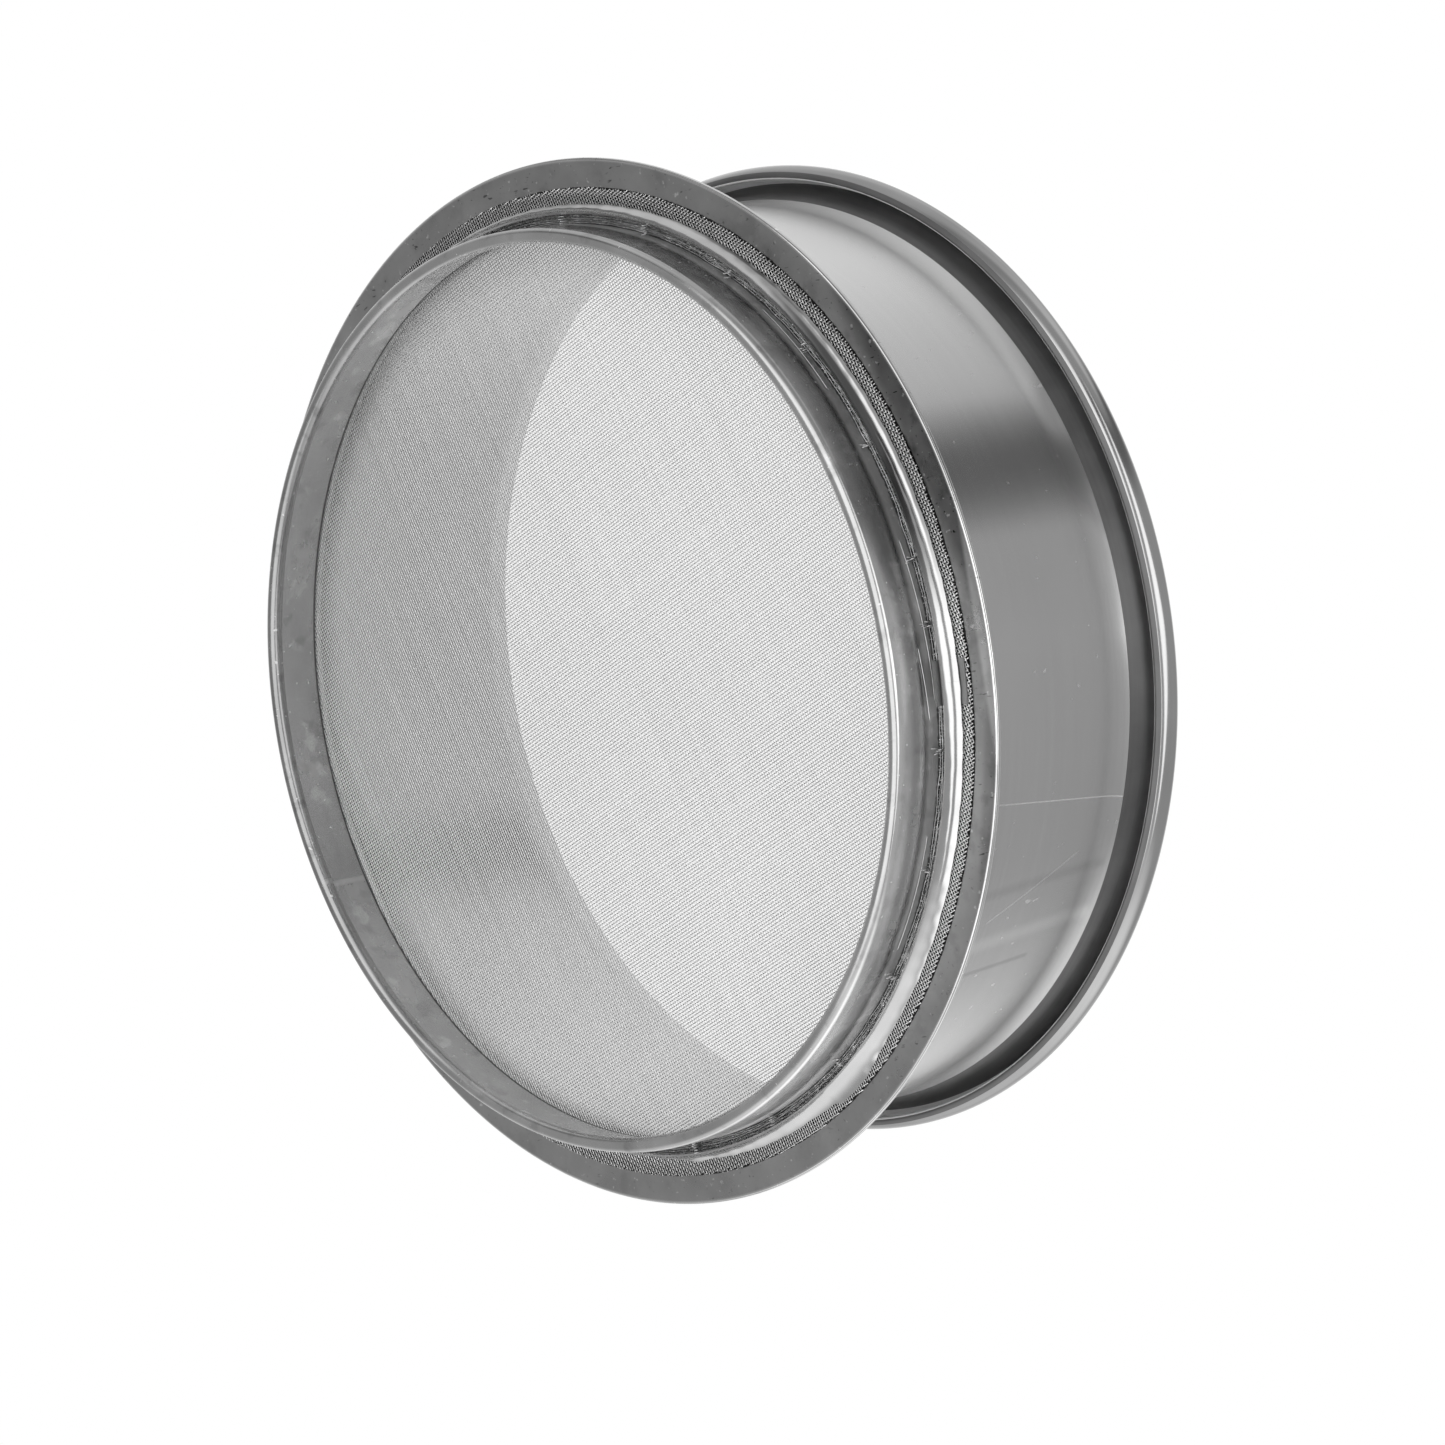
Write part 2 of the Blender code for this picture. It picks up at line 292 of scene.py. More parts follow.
def add_mesh(name, corners, faces, materials, face_material=None, crease=SHEET_CREASE):
    """Puts arrays of corners and four-cornered faces into the scene as one piece riding on the sieve."""
    mesh = bpy.data.meshes.new(name)
    mesh.vertices.add(len(corners))
    mesh.vertices.foreach_set("co", np.asarray(corners, np.float32).ravel())
    mesh.loops.add(faces.size)
    mesh.loops.foreach_set("vertex_index", faces.astype(np.int32).ravel())
    mesh.polygons.add(len(faces))
    mesh.polygons.foreach_set("loop_start", np.arange(len(faces), dtype=np.int32) * faces.shape[1])
    for material in materials:
        mesh.materials.append(material)
    if face_material is not None:
        mesh.polygons.foreach_set("material_index", face_material.astype(np.int32))
    mesh.update(calc_edges=True)
    mesh.validate()
    mesh.shade_smooth()
    mesh.set_sharp_from_angle(angle=math.radians(crease))
    piece = bpy.data.objects.new(name, mesh)
    bpy.context.scene.collection.objects.link(piece)
    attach(piece, "root")
    return piece


def hoop_faces(turns, count, closed):
    """Four-cornered faces of a grid of turns by section points; a part turn is capped across the sheet."""
    i = np.arange(turns if closed else turns - 1)[:, None]
    j = np.arange(count)[None, :]
    after, along = (i + 1) % turns, (j + 1) % count
    grid = [i * count + j, after * count + j, after * count + along, i * count + along]
    faces = np.stack([np.broadcast_to(g, (len(i), count)) for g in grid], axis=-1).reshape(-1, 4)
    if closed:
        return faces
    k = np.arange(count // 2 - 1)
    cap = np.stack([k, k + 1, count - 2 - k, count - 1 - k], axis=-1)
    return np.vstack([faces, cap, cap[:, ::-1] + (turns - 1) * count])


def add_hoop(name, section, materials, zone=None, start=0.0, end=360.0, turns=TURNS, shift=None):
    """Hoop: each section point (r, z) carried round the axis to (r cos a, r sin a, z).

    The shift gives how far a point moves outwards at each angle. A full turn closes on itself.
    """
    closed = end - start >= 360
    angle = np.radians(np.linspace(start, end, turns, endpoint=not closed))[:, None]
    radius = np.broadcast_to(section[:, 0], (turns, len(section)))
    height = np.broadcast_to(section[:, 1], (turns, len(section)))
    if shift is not None:
        radius = radius + shift(angle, radius)
    corners = np.stack([radius * np.cos(angle), radius * np.sin(angle), height], axis=-1).reshape(-1, 3)
    faces = hoop_faces(turns, len(section), closed)
    face_zone = None
    if zone is not None:
        rows = turns if closed else turns - 1
        face_zone = np.zeros(len(faces))
        face_zone[:rows * len(section)] = np.tile(zone, rows)
    return add_mesh(name, corners, faces, materials, face_zone)


def rods(spines, radius, beside):
    """Four-sided rods round rows of spine points: corners at the spine plus or minus two cross directions.

    The first cross direction is square to the rod and to beside, the second to the rod and the first.
    """
    along = np.gradient(spines, axis=1)
    across = np.cross(along, np.broadcast_to(beside, spines.shape))
    across /= np.linalg.norm(across, axis=-1, keepdims=True)
    over = np.cross(across, along)
    over /= np.linalg.norm(over, axis=-1, keepdims=True)
    ring = np.stack([across, over, -across, -over], axis=2) * radius
    corners = (spines[:, :, None, :] + ring).reshape(-1, 3)
    count, steps = spines.shape[:2]
    w = np.arange(count)[:, None, None] * steps * 4
    s = np.arange(steps - 1)[None, :, None] * 4
    k = np.arange(4)[None, None, :]
    n = (k + 1) % 4
    grid = (w + s + k, w + s + n, w + s + 4 + n, w + s + 4 + k)
    sides = np.stack([np.broadcast_to(g, (count, steps - 1, 4)) for g in grid], axis=-1).reshape(-1, 4)
    first = w[:, 0] + np.arange(4)
    return corners, np.vstack([sides, first[:, ::-1], first + (steps - 1) * 4])


def node(tree, kind, **settings):
    """One shader node with its plain settings."""
    new = tree.nodes.new("ShaderNode" + kind)
    for key, value in settings.items():
        setattr(new, key, value)
    return new


def feed(tree, socket, value):
    """Links an output to a socket, or sets the socket to a constant."""
    if isinstance(value, bpy.types.NodeSocket):
        tree.links.new(value, socket)
    else:
        socket.default_value = value


def maths(tree, operation, *values):
    """One sum on numbers."""
    new = node(tree, "Math", operation=operation)
    for socket, value in zip(new.inputs, values):
        feed(tree, socket, value)
    return new.outputs[0]


def times(tree, product, *factors):
    """Product of numbers."""
    for factor in factors:
        product = maths(tree, "MULTIPLY", product, factor)
    return product


def blend(tree, base, *layers):
    """Base number with layers added on top, each a mark times an amount."""
    total = base
    for mark, amount in layers:
        total = maths(tree, "MULTIPLY_ADD", mark, amount, total)
    return total


def darken(tree, tone, mark, share):
    """Tone that loses a share of itself where a mark is."""
    return times(tree, tone, blend(tree, 1.0, (mark, -share)))


def ease(tree, value, low, high, start=0.0, end=1.0):
    """Smooth step of a number, from start at low to end at high."""
    new = node(tree, "MapRange", interpolation_type="SMOOTHSTEP")
    names = ("Value", "From Min", "From Max", "To Min", "To Max")
    for name, number in zip(names, (value, low, high, start, end)):
        feed(tree, new.inputs[name], number)
    return new.outputs["Result"]


def dot(tree, vector, direction):
    """How far a vector reaches along a fixed direction."""
    new = node(tree, "VectorMath", operation="DOT_PRODUCT")
    feed(tree, new.inputs[0], vector)
    new.inputs[1].default_value = direction
    return new.outputs["Value"]


def height_of(tree, place):
    """Height of a place above the level that the sieve stands on."""
    return dot(tree, place, (0, 0, 1))


def axis_distance(tree, place):
    """Distance of a place from the sieve's axis."""
    parts = node(tree, "SeparateXYZ")
    feed(tree, parts.inputs[0], place)
    flat = node(tree, "CombineXYZ")
    tree.links.new(parts.outputs["X"], flat.inputs["X"])
    tree.links.new(parts.outputs["Y"], flat.inputs["Y"])
    reach = node(tree, "VectorMath", operation="LENGTH")
    tree.links.new(flat.outputs[0], reach.inputs[0])
    return reach.outputs["Value"]


def noise(tree, place, scale, detail=3.0, stretch=(1, 1, 1)):
    """Cloudy noise from 0 to 1, read at stretched places."""
    turn = node(tree, "Mapping")
    feed(tree, turn.inputs["Vector"], place)
    turn.inputs["Scale"].default_value = stretch
    cloud = node(tree, "TexNoise")
    feed(tree, cloud.inputs["Vector"], turn.outputs["Vector"])
    cloud.inputs["Scale"].default_value = scale
    cloud.inputs["Detail"].default_value = detail
    return cloud.outputs["Fac"]


def flecks(tree, place, scale, detail, low, high):
    """Noise cut to flecks: 0 where it is under low, 1 where it is over high."""
    return ease(tree, noise(tree, place, scale, detail), low, high)


def facing(bearing):
    """Level direction at a bearing in degrees from the side nearest the camera."""
    turn = math.radians(bearing + VIEW_BEARING)
    return Vector((math.cos(turn), math.sin(turn), 0))


def towards(tree, place, bearing, low, high, start=0.0, end=1.0):
    """Stretch of the sieve on one side: smooth step of how far a place reaches towards a bearing."""
    return ease(tree, dot(tree, place, facing(bearing)), low, high, start, end)


def on_wall(bearing, height):
    """Point of the wall at a bearing in degrees from the side nearest the camera."""
    turn = math.radians(bearing + VIEW_BEARING)
    return Vector((WALL_RADIUS * math.cos(turn), WALL_RADIUS * math.sin(turn), height))


def off_line(tree, place, direction, level):
    """How far a place lies to either side of a level along a fixed direction."""
    return maths(tree, "ABSOLUTE", maths(tree, "SUBTRACT", dot(tree, place, direction), level))


def height_line(tree, place, level, width):
    """Thin line round the sieve: 1 at a level, 0 beyond its width above and below."""
    return ease(tree, off_line(tree, place, (0, 0, 1), level), width * LINE_CORE, width, 1.0, 0.0)


def scratch(tree, place, start, end, width):
    """Straight mark on a wall between two bearings and heights: 1 on its line, 0 past its sides and ends."""
    start, end = on_wall(*start), on_wall(*end)
    line = end - start
    middle = (start + end) / 2
    outwards = Vector((middle.x, middle.y, 0)).normalized()
    across = line.cross(outwards).normalized()
    along = line.normalized()
    aside = off_line(tree, place, across, middle.dot(across))
    far = off_line(tree, place, along, middle.dot(along))
    near = maths(tree, "GREATER_THAN", dot(tree, place, outwards), 0.0)
    return times(tree, ease(tree, aside, 0.0, width, 1.0, 0.0),
                 ease(tree, far, line.length * MARK_FADE, line.length / 2, 1.0, 0.0), near)


def bare_metal(name):
    """New metal finish: its node tree, its shader, and the place that its marks are read at."""
    material = bpy.data.materials.new(name)
    material.use_nodes = True
    tree = material.node_tree
    shader = tree.nodes["Principled BSDF"]
    shader.inputs["Metallic"].default_value = 1.0
    return material, tree, shader, node(tree, "TexCoord").outputs["Object"]


def paint(tree, shader, tone, rough):
    """Gives a finish its tone and its roughness."""
    tree.links.new(tone, shader.inputs["Base Color"])
    tree.links.new(rough, shader.inputs["Roughness"])


def raise_marks(tree, shader, height, depth):
    """Bump from a height pattern of a given depth in metres."""
    bump = node(tree, "Bump")
    bump.inputs["Distance"].default_value = depth
    feed(tree, bump.inputs["Height"], height)
    tree.links.new(bump.outputs["Normal"], shader.inputs["Normal"])


def polished_wall():
    """Rolled sheet, polished round the drum: hoop-wise lines and gloss, a seam, scratches and specks, painted
    reflections, a painted highlight on its sides, a painted dark reflection patch and painted shade in the
    inside corner.
    """
    material, tree, shader, place = bare_metal("polished_wall")
    lines = noise(tree, place, 1.0, 4, (14, 14, 1500))
    broad = noise(tree, place, 1.0, 2, (9, 9, 130))
    clouds = noise(tree, place, 38, 4)
    specks = flecks(tree, place, 620, 1, 0.74, 0.80)
    marks = (WALL_SEAM, WALL_INNER_SEAM, WALL_NICK, WALL_REFLECTION_DARK_BAND, WALL_REFLECTION_BRIGHT_BAND, WALL_REFLECTION_DARK_STREAK)
    # The last three marks are painted reflections on the wall: a dark band, a bright band and a dark streak
    seam, inner_seam, nick, reflection_dark_band, reflection_bright_band, reflection_dark_streak = (scratch(tree, place, *mark) for mark in marks)
    inside = ease(tree, axis_distance(tree, place), *WALL_INSIDE)
    # Painted shade low on the inside wall, in the corner by the flange
    corner = times(tree, ease(tree, height_of(tree, place), *WALL_CORNER_SHADE), inside)
    # Painted highlight: the wall lighter at its two sides
    bright = ease(tree, maths(tree, "ABSOLUTE", dot(tree, place, facing(90))), *WALL_LIT_SIDES)
    # Painted dark reflection patch on the wall
    dull = towards(tree, place, *WALL_DARK_REFLECTION_PATCH)
    tone = blend(tree, 0.54, (lines, 0.05), (broad, 0.04), (clouds, 0.08), (specks, 0.10),
                 (bright, 0.12), (dull, -0.13), (seam, 0.30), (nick, 0.16), (inner_seam, -0.20),
                 (inside, 0.03), (corner, -0.40), (reflection_dark_band, -0.07), (reflection_bright_band, 0.10), (reflection_dark_streak, -0.12))
    rough = blend(tree, 0.15, (clouds, 0.10), (lines, 0.03), (specks, 0.2), (seam, 0.25), (nick, 0.2))
    paint(tree, shader, tone, rough)
    shader.inputs["Anisotropic"].default_value = 0.95
    shader.inputs["Anisotropic Rotation"].default_value = 0.25
    raise_marks(tree, shader, lines, 0.0000012)
    return material


def stained_flange():
    """Flat flange, matt and stained: blots, smears and pits, a painted shadow under the cloth's margin,
    painted light and shade on its sides, a lighter and a darker patch, and a painted dark reflection line
    along the hem.
    """
    material, tree, shader, place = bare_metal("stained_flange")
    reach = axis_distance(tree, place)
    clouds = noise(tree, place, 95, 5)
    blots = flecks(tree, place, 210, 4, 0.52, 0.68)
    smears = noise(tree, place, 330, 3)
    pits = flecks(tree, place, 900, 2, 0.67, 0.74)
    grime = flecks(tree, place, 1400, 2, 0.68, 0.74)
    ticks = ease(tree, noise(tree, place, 1.0, 2, (420, 1500, 1)), 0.64, 0.70)
    ticks = times(tree, ticks, flecks(tree, place, 150, 2, 0.50, 0.60))
    edge = ease(tree, reach, *FLANGE_EDGE)
    # Painted dark reflection line along the hem's edge
    hem_reflection_line = times(tree, edge, height_line(tree, place, *HEM_REFLECTION_LINE))
    below = ease(tree, height_of(tree, place), *FLANGE_BELOW)
    # Painted shadow under the cloth's margin, with a ragged edge; it also roughens the flange there
    ragged = blend(tree, reach, (noise(tree, place, 1500, 2), FLANGE_RAGGED))
    shade_under_cloth = times(tree, ease(tree, ragged, *FLANGE_SHADE_UNDER_CLOTH), below)
    # Painted light and shade across the flange
    side_light = towards(tree, place, *FLANGE_SIDE_LIGHT)
    # Painted shade on one side of the flange's underside, then a lighter and a darker patch
    sides = (FLANGE_SHADED_SIDE, FLANGE_LIGHTER_PATCH, FLANGE_DARKER_PATCH)
    flange_shaded_side, flange_lighter_patch, flange_darker_patch = (times(tree, towards(tree, place, *side), below) for side in sides)
    tone = blend(tree, 0.22, (clouds, 0.18), (blots, -0.06), (smears, 0.06), (pits, 0.22),
                 (grime, -0.12), (edge, 0.35), (hem_reflection_line, -0.45), (side_light, 1.0), (flange_shaded_side, -0.19),
                 (flange_lighter_patch, 0.22), (flange_darker_patch, -0.08), (ticks, -0.20))
    rough = blend(tree, 0.20, (clouds, 0.20), (blots, 0.10), (edge, -0.14), (shade_under_cloth, 0.3))
    paint(tree, shader, darken(tree, tone, shade_under_cloth, 0.9), rough)
    raise_marks(tree, shader, blend(tree, clouds, (pits, 0.3)), 0.00002)
    return material


def turned_rim():
    """Rim of the mouth: bright rolled sheet with fine lines round it, with painted shade at two places."""
    material, tree, shader, place = bare_metal("turned_rim")
    clouds = noise(tree, place, 60, 4)
    lines = noise(tree, place, 1.0, 3, (20, 20, 1800))
    # Painted shade on the rim at two places
    rim_shade = maths(tree, "MAXIMUM", towards(tree, place, *RIM_SHADED_ABOVE),
                   towards(tree, place, *RIM_SHADED_BELOW))
    tone = blend(tree, 0.42, (clouds, 0.14), (lines, 0.05), (rim_shade, -0.17))
    paint(tree, shader, tone, blend(tree, 0.08, (clouds, 0.12), (lines, 0.05)))
    raise_marks(tree, shader, lines, 0.000001)
    return material


def satin_flare():
    """Flare below the rim, and the lip's lower edge: dark satin sheet, with painted light on its upper part.
    """
    material, tree, shader, place = bare_metal("satin_flare")
    clouds = noise(tree, place, 150, 4)
    streaks = noise(tree, place, 1.0, 3, (30, 30, 2200))
    # Painted light on the flare's upper part
    upper_light = ease(tree, height_of(tree, place), *FLARE_UPPER_LIGHT)
    tone = blend(tree, 0.09, (clouds, 0.08), (streaks, 0.05), (upper_light, 0.07))
    paint(tree, shader, tone, blend(tree, 0.34, (clouds, 0.15)))
    raise_marks(tree, shader, clouds, 0.000004)
    return material


def lightened_channel():
    """Channel under the rim: the same sheet, made light and mostly diffuse as painted light against its shade,
    and streaked round the hoop.
    """
    material, tree, shader, place = bare_metal("lightened_channel")
    # Light, mostly diffuse tone: painted light that lifts the channel's shade
    shader.inputs["Metallic"].default_value = 0.1
    clouds = noise(tree, place, 120, 4)
    streaks = noise(tree, place, 1.0, 3, (30, 30, 2200))
    tone = blend(tree, 0.70, (clouds, 0.15), (streaks, 0.15))
    paint(tree, shader, tone, blend(tree, 0.40, (clouds, 0.15)))
    raise_marks(tree, shader, clouds, 0.000004)
    return material


def dull_skirt():
    """Skirt: dull sheet with smudges and a ground weld, painted shade where the cloth and the packing meet it,
    a painted highlight and painted shade on the bead, and painted light and shade on its sides.
    """
    material, tree, shader, place = bare_metal("dull_skirt")
    high = height_of(tree, place)
    clouds = noise(tree, place, 110, 5, (1, 1, 1.6))
    blots = flecks(tree, place, 260, 4, 0.55, 0.70)
    lines = noise(tree, place, 1.0, 3, (16, 16, 1300))
    pits = flecks(tree, place, 1100, 2, 0.70, 0.76)
    smudges = times(tree, flecks(tree, place, 230, 4, 0.57, 0.66), ease(tree, high, *SKIRT_ABOVE_BEAD))
    weld = scratch(tree, place, *SKIRT_WELD)
    outside = ease(tree, axis_distance(tree, place), *SKIRT_OUTSIDE)
    ragged = blend(tree, high, (noise(tree, place, 1300, 2), SKIRT_RAGGED))
    # Painted shade behind the packing strip and where the cloth meets the skirt; it also roughens the skirt
    # there
    shade_behind_packing = times(tree, outside, ease(tree, ragged, *SKIRT_SHADE_BEHIND_PACKING))
    gap_shade = maths(tree, "MAXIMUM", shade_behind_packing, ease(tree, high, *SKIRT_SHADE_UNDER_CLOTH))
    # Painted highlight on the bead, with less roughness
    bead_highlight = times(tree, ease(tree, high, *SKIRT_BEAD_HIGHLIGHT), towards(tree, place, *SKIRT_HIGHLIGHT_SIDE), outside)
    # Painted light on one side of the skirt, with more roughness
    side_light = times(tree, towards(tree, place, *SKIRT_LIT_SIDE), outside)
    # Painted shade on one side of the skirt
    skirt_shaded_side = times(tree, towards(tree, place, *SKIRT_SHADED_SIDE), outside)
    # Painted shade on the bead on one side
    bead_shaded_side = times(tree, towards(tree, place, *SKIRT_BEAD_SHADED_SIDE), ease(tree, high, *SKIRT_BEAD))
    # Painted light on the skirt below the packing strip, with more roughness
    under = times(tree, ease(tree, high, *SKIRT_LIT_UNDER_STRIP), outside)
    tone = blend(tree, 0.36, (clouds, 0.24), (blots, -0.09), (lines, 0.04), (pits, 0.30),
                 (weld, 0.1), (smudges, 0.12), (bead_highlight, 1.0), (side_light, 1.0), (skirt_shaded_side, 1.0),
                 (under, 0.12), (bead_shaded_side, -0.16))
    rough = blend(tree, 0.14, (clouds, 0.22), (pits, 0.2), (weld, 0.2), (gap_shade, 0.3),
                  (bead_highlight, -0.2), (side_light, 0.7), (under, 0.35))
    paint(tree, shader, darken(tree, tone, gap_shade, 0.7), rough)
    raise_marks(tree, shader, blend(tree, clouds, (lines, 0.1)), 0.000012)
    return material


def bright_clamp():
    """Clamp hoop: bright sheet, lightly wiped, with painted dark reflection along both edges on one side."""
    material, tree, shader, place = bare_metal("bright_clamp")
    clouds = noise(tree, place, 120, 4)
    lines = noise(tree, place, 1.0, 3, (24, 24, 1500))
    high = height_of(tree, place)
    # Painted dark reflection along both edges of the clamp on one side
    low_edge_shade = times(tree, ease(tree, high, *CLAMP_LOW_EDGE), towards(tree, place, *CLAMP_LOW_SHADED_SIDE))
    foot = times(tree, ease(tree, high, *CLAMP_FOOT), towards(tree, place, *CLAMP_FOOT_SHADED_SIDE))
    tone = blend(tree, 0.44, (clouds, 0.22), (lines, 0.06))
    tone = darken(tree, tone, maths(tree, "MAXIMUM", low_edge_shade, foot), 0.72)
    paint(tree, shader, tone, blend(tree, 0.08, (clouds, 0.14)))
    raise_marks(tree, shader, clouds, 0.00001)
    return material


def satin_strap():
    """Strap behind the joint: satin, smudged dark."""
    material, tree, shader, place = bare_metal("satin_strap")
    clouds = noise(tree, place, 300, 4)
    paint(tree, shader, blend(tree, 0.22, (clouds, 0.14)), blend(tree, 0.40, (clouds, 0.2)))
    raise_marks(tree, shader, clouds, 0.00001)
    return material


def drawn_wire(name, turn):
    """Wire of the cloth: drawn steel, with painted highlights on the crowns of the plain weave and painted
    shade where it dips, and on its held margin painted shade on one side and painted light on two others.
    """
    material, tree, shader, place = bare_metal(name)
    clouds = noise(tree, place, 26, 3)
    grit = noise(tree, place, 1900, 1)
    # Checker of painted highlights on the crowns and painted shade in the dips of the weave
    square = node(tree, "Mapping")
    tree.links.new(place, square.inputs["Vector"])
    square.inputs["Rotation"].default_value = (0, 0, -math.radians(WEAVE_TURN))
    start = (WIRE_PITCH * (0.5 + turn / 90), WIRE_PITCH / 2, WEAVE_SHIFT)
    square.inputs["Location"].default_value = start
    level = node(tree, "VectorMath", operation="MULTIPLY_ADD")
    tree.links.new(square.outputs["Vector"], level.inputs[0])
    level.inputs[1].default_value = (1, 1, 0)
    level.inputs[2].default_value = (0, 0, WIRE_PITCH / 2)
    weave = node(tree, "TexChecker")
    tree.links.new(level.outputs[0], weave.inputs["Vector"])
    weave.inputs["Scale"].default_value = 1 / WIRE_PITCH
    crown_highlight = weave.outputs["Fac"]
    held = ease(tree, axis_distance(tree, place), *CLOTH_HELD)
    # Stronger painted crown highlights on the held margin
    held_crown_highlight = times(tree, held, maths(tree, "SUBTRACT", crown_highlight, 0.6))
    # Painted shade on one side of the held margin
    held_shaded_side = times(tree, held, towards(tree, place, *CLOTH_SHADED_SIDE))
    # Painted light on two sides of the held margin
    clean = maths(tree, "MAXIMUM", towards(tree, place, *CLOTH_LIT_ABOVE),
                  towards(tree, place, *CLOTH_LIT_BELOW))
    clean = times(tree, held, clean)
    stretch = (25, 1100, 1) if turn == 0 else (1100, 25, 1)
    thread = noise(tree, square.outputs["Vector"], 1.0, 2, stretch)
    tone = blend(tree, 0.42, (clouds, 0.12), (grit, 0.10), (crown_highlight, 0.18), (held_crown_highlight, 0.32),
                 (thread, 0.28), (held_shaded_side, -0.2), (clean, 0.2))
    paint(tree, shader, tone, blend(tree, 0.26, (grit, 0.2)))
    return material


def frayed_wire():
    """Wire of the packing strip: dirty, with bright ends here and there."""
    material, tree, shader, place = bare_metal("frayed_wire")
    clouds = noise(tree, place, 240, 3)
    bright = flecks(tree, place, 700, 2, 0.52, 0.66)
    tone = blend(tree, 0.36, (clouds, 0.3), (bright, 0.3))
    paint(tree, shader, tone, blend(tree, 0.35, (clouds, 0.2)))
    return material


def bright_strand():
    """Loose strand: clean drawn wire with small dull spots."""
    material, tree, shader, place = bare_metal("bright_strand")
    spots = noise(tree, place, 900, 2)
    paint(tree, shader, blend(tree, 0.55, (spots, 0.4)), blend(tree, 0.22, (spots, 0.2)))
    return material


def make_drum():
    """Drum: hemmed flange, wall, flare and turned-down rim as one thin sheet carried round the axis."""
    wall = WALL_RADIUS - SHEET / 2
    flange = FLANGE_BASE + SHEET / 2
    hem = (FLANGE_RADIUS - SHEET / 2 - HEM_FOLD, flange + HEM_FOLD)
    lean, slant = math.radians(EASE_ANGLE), math.radians(FLARE_ANGLE)
    sweep = EASE_RISE / math.sin(lean)
    rise = MOUTH_TOP - FLARE_DEPTH - EASE_DROP
    spread = wall + sweep * (1 - math.cos(lean))
    foot = (spread + FLARE_BEND * math.cos(lean), rise - FLARE_BEND * math.sin(lean))
    top = MOUTH_TOP - SHEET / 2 - RIM_BEND
    climb = top - foot[1] + (RIM_BEND - FLARE_BEND) * math.sin(slant)
    corner = foot[0] + (RIM_BEND - FLARE_BEND) * math.cos(slant) + climb * math.tan(slant)
    lip = wall + RIM_REACH
    turn = math.radians(LIP_TURN)
    spoke = np.array([math.cos(turn), -math.sin(turn)])
    fold = np.array([lip - LIP_BEND + LIP_BEND * spoke[0] - LIP_WIDTH - LIP_FOLD * spoke[0],
                     MOUTH_TOP - RIM_DEPTH + SHEET / 2 + LIP_FOLD])
    climb_back = LIP_WIDTH / math.tan(turn)
    swell = fold + LIP_FOLD * spoke + np.array([LIP_WIDTH, climb_back]) - LIP_BEND * spoke
    pieces = [
        point(hem[0] - HEM_WIDTH, flange + 2 * HEM_FOLD, (1, 0)),
        bend(hem, HEM_FOLD, 90, -90, 12),
        run((hem[0], flange), (wall + FLANGE_BEND, flange), 6),
        bend((wall + FLANGE_BEND, flange + FLANGE_BEND), FLANGE_BEND, -90, -180, 8),
        run((wall, flange + FLANGE_BEND), (wall, rise - EASE_RISE), 12),
        bend((wall + sweep, rise - EASE_RISE), sweep, 180, 180 - EASE_ANGLE, 12),
        bend(foot, FLARE_BEND, 180 - FLARE_SKIP - EASE_ANGLE, 180 - FLARE_ANGLE, 4),
        bend((corner, top), RIM_BEND, 180 - FLARE_ANGLE, 90, 8),
        bend((lip - RIM_BEND, top), RIM_BEND, 90, 0, 10),
        bend(swell, LIP_BEND, 0, -LIP_TURN, 8),
        bend(fold, LIP_FOLD, -LIP_TURN, LIP_SPLIT[0], 4),
        bend(fold, LIP_FOLD, LIP_SPLIT[1], -180, 4),
        point(fold[0] - LIP_FOLD, fold[1] + RIM_HEM, (0, 1)),
    ]
    right = (FLANGE,) * 3 + (WALL,) * 3 + (FLARE,) + (CHANNEL,) * 6
    left = (FLANGE,) * 3 + (WALL,) * 5 + (RIM,) * 2 + (FLARE,) + (CHANNEL,) * 2
    zone = section_zones(pieces, right, left)
    finishes = [polished_wall(), stained_flange(), turned_rim(), lightened_channel(), satin_flare()]
    piece = add_hoop("drum_shell", sheet_section(pieces, SHEET), finishes, zone)
    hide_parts("drum")


def make_skirt():
    """Skirt: straight ring whose lower edge rolls inwards through four fifths of a turn."""
    wall = WALL_RADIUS - SHEET / 2
    roll = BEAD_RADIUS - SHEET / 2
    pieces = [
        point(wall, SKIRT_TOP, (0, -1)),
        run((wall, SKIRT_TOP), (wall, BEAD_RADIUS), 6),
        bend((wall - roll, BEAD_RADIUS), roll, 0, -BEAD_SWEEP, 40),
    ]
    piece = add_hoop("skirt_hoop", sheet_section(pieces, SHEET), [dull_skirt()])
    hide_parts("skirt_ring")


def cove_centre():
    """Centre of the clamp's hollow curve, from the clamp's foot edge and top."""
    back = COVE_RADIUS + CLAMP_SHEET
    end = math.radians(COVE_END)
    return FOOT_RADIUS + COVE_RADIUS * math.cos(end), CLAMP_TOP - back * math.sin(end)


def clamp_section():
    """Hollow curve: an arc from near upright at its lower edge to near level at its foot."""
    arc = bend(cove_centre(), COVE_RADIUS + CLAMP_SHEET / 2, 180 - COVE_START, 180 - COVE_END, 28)
    return sheet_section([arc], CLAMP_SHEET)


def strap_section():
    """The same hollow curve, one seat further back, carried on past both edges of the clamp."""
    centre = cove_centre()
    back = COVE_RADIUS + CLAMP_SHEET + SEAT + STRAP_SHEET / 2
    low = math.degrees(math.asin((STRAP_LOW - centre[1]) / back))
    level = STRAP_TOP - STRAP_SHEET / 2
    high = math.degrees(math.asin((level - centre[1]) / back))
    pieces = [bend(centre, back, 180 - low, 180 - high, 28), point(STRAP_RADIUS, level, (1, 0))]
    return sheet_section(pieces, STRAP_SHEET)


